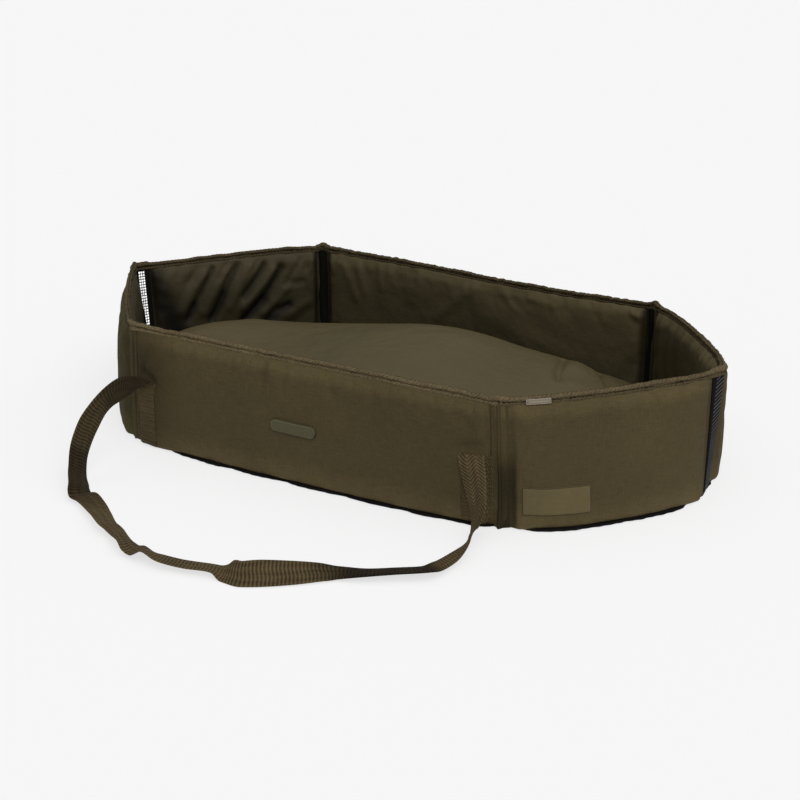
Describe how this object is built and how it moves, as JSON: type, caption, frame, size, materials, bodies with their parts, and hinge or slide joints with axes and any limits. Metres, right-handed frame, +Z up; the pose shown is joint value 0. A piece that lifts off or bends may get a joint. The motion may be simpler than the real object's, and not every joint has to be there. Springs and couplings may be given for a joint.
{
  "type": "unhooking mat",
  "caption": "Padded crib for laying a caught fish on while it is unhooked: folding padded walls round a waterproof base, a loose thick cushion and carry handles.",
  "frame": {"origin": "on the ground, under the middle of the base", "axes": "+X towards the right tip, -Y towards the long wall with the badge, +Z up"},
  "size_m": [1.0088, 1.1538, 0.18],
  "materials": {
    "outer_fabric": "matt woven polyester, dark olive",
    "binding": "ribbed binding tape, olive brown",
    "cushion_fabric": "smooth coated fabric, olive",
    "webbing": "woven webbing, olive brown",
    "black_tape": "matt black tape",
    "base_coating": "black waterproof coating",
    "foam": "open foam",
    "badge_rubber": "satin moulded rubber",
    "label_print": "smooth label cloth",
    "tag_fabric": "white satin tape"
  },
  "bodies": {
    "base": {"base_sheet": "base_coating", "base_binding": "black_tape", "base_foam": "foam", "floor_liner": "outer_fabric"},
    "cushion": {"cushion_cover": "cushion_fabric", "cushion_core": "foam", "cushion_closure": "black_tape"},
    "front_wall": {"front_wall_cover": "outer_fabric", "front_wall_board": "foam", "front_wall_binding": "binding", "front_badge": "badge_rubber", "front_band_left": "webbing", "front_band_right": "webbing", "front_left_corner_tape": "black_tape", "front_right_corner_tape": "black_tape"},
    "rear_wall": {"rear_wall_cover": "outer_fabric", "rear_wall_board": "foam", "rear_wall_binding": "binding", "rear_band_left": "webbing", "rear_band_right": "webbing", "rear_left_corner_tape": "black_tape", "rear_right_corner_tape": "black_tape"},
    "front_left_end": {"front_left_end_cover": "outer_fabric", "front_left_end_board": "foam", "front_left_end_binding": "binding", "front_left_loop_tape": "black_tape"},
    "front_right_end": {"front_right_end_cover": "outer_fabric", "front_right_end_board": "foam", "front_right_end_binding": "binding", "front_right_loop_tape": "black_tape", "care_label": "label_print", "size_tag": "tag_fabric"},
    "rear_left_end": {"rear_left_end_cover": "outer_fabric", "rear_left_end_board": "foam", "rear_left_end_binding": "binding", "rear_left_hook_tape": "black_tape"},
    "rear_right_end": {"rear_right_end_cover": "outer_fabric", "rear_right_end_board": "foam", "rear_right_end_binding": "binding", "rear_right_hook_tape": "black_tape"},
    "front_handle": {"front_handle": "webbing"},
    "rear_handle": {"rear_handle": "webbing"}
  },
  "joints": [
    {"name": "cushion_lift", "type": "slide", "parent": "base", "child": "cushion", "axis": [0, 0, 1], "range_m": [0, 0.3]},
    {"name": "front_wall_fold", "type": "hinge", "parent": "base", "child": "front_wall", "pos_m": [0, -0.2775, 0], "axis": [1, 0, 0], "range_deg": [0, 90]},
    {"name": "rear_wall_fold", "type": "hinge", "parent": "base", "child": "rear_wall", "pos_m": [0, 0.2775, 0], "axis": [-1, 0, 0], "range_deg": [0, 90]},
    {"name": "front_left_end_swing", "type": "hinge", "parent": "front_wall", "child": "front_left_end", "pos_m": [-0.3, -0.252, 0], "axis": [0, 0, 1], "range_deg": [0, 51.5]},
    {"name": "front_right_end_swing", "type": "hinge", "parent": "front_wall", "child": "front_right_end", "pos_m": [0.3, -0.252, 0], "axis": [0, 0, -1], "range_deg": [0, 51.5]},
    {"name": "rear_left_end_swing", "type": "hinge", "parent": "rear_wall", "child": "rear_left_end", "pos_m": [-0.3, 0.252, 0], "axis": [0, 0, -1], "range_deg": [0, 51.5]},
    {"name": "rear_right_end_swing", "type": "hinge", "parent": "rear_wall", "child": "rear_right_end", "pos_m": [0.3, 0.252, 0], "axis": [0, 0, 1], "range_deg": [0, 51.5]},
    {"name": "front_handle_swing", "type": "hinge", "parent": "front_wall", "child": "front_handle", "pos_m": [0, -0.2696, 0.098], "axis": [1, 0, 0], "range_deg": [-68, 0]},
    {"name": "rear_handle_swing", "type": "hinge", "parent": "rear_wall", "child": "rear_handle", "pos_m": [0, 0.2696, 0.098], "axis": [-1, 0, 0], "range_deg": [-68, 0]}
  ]
}
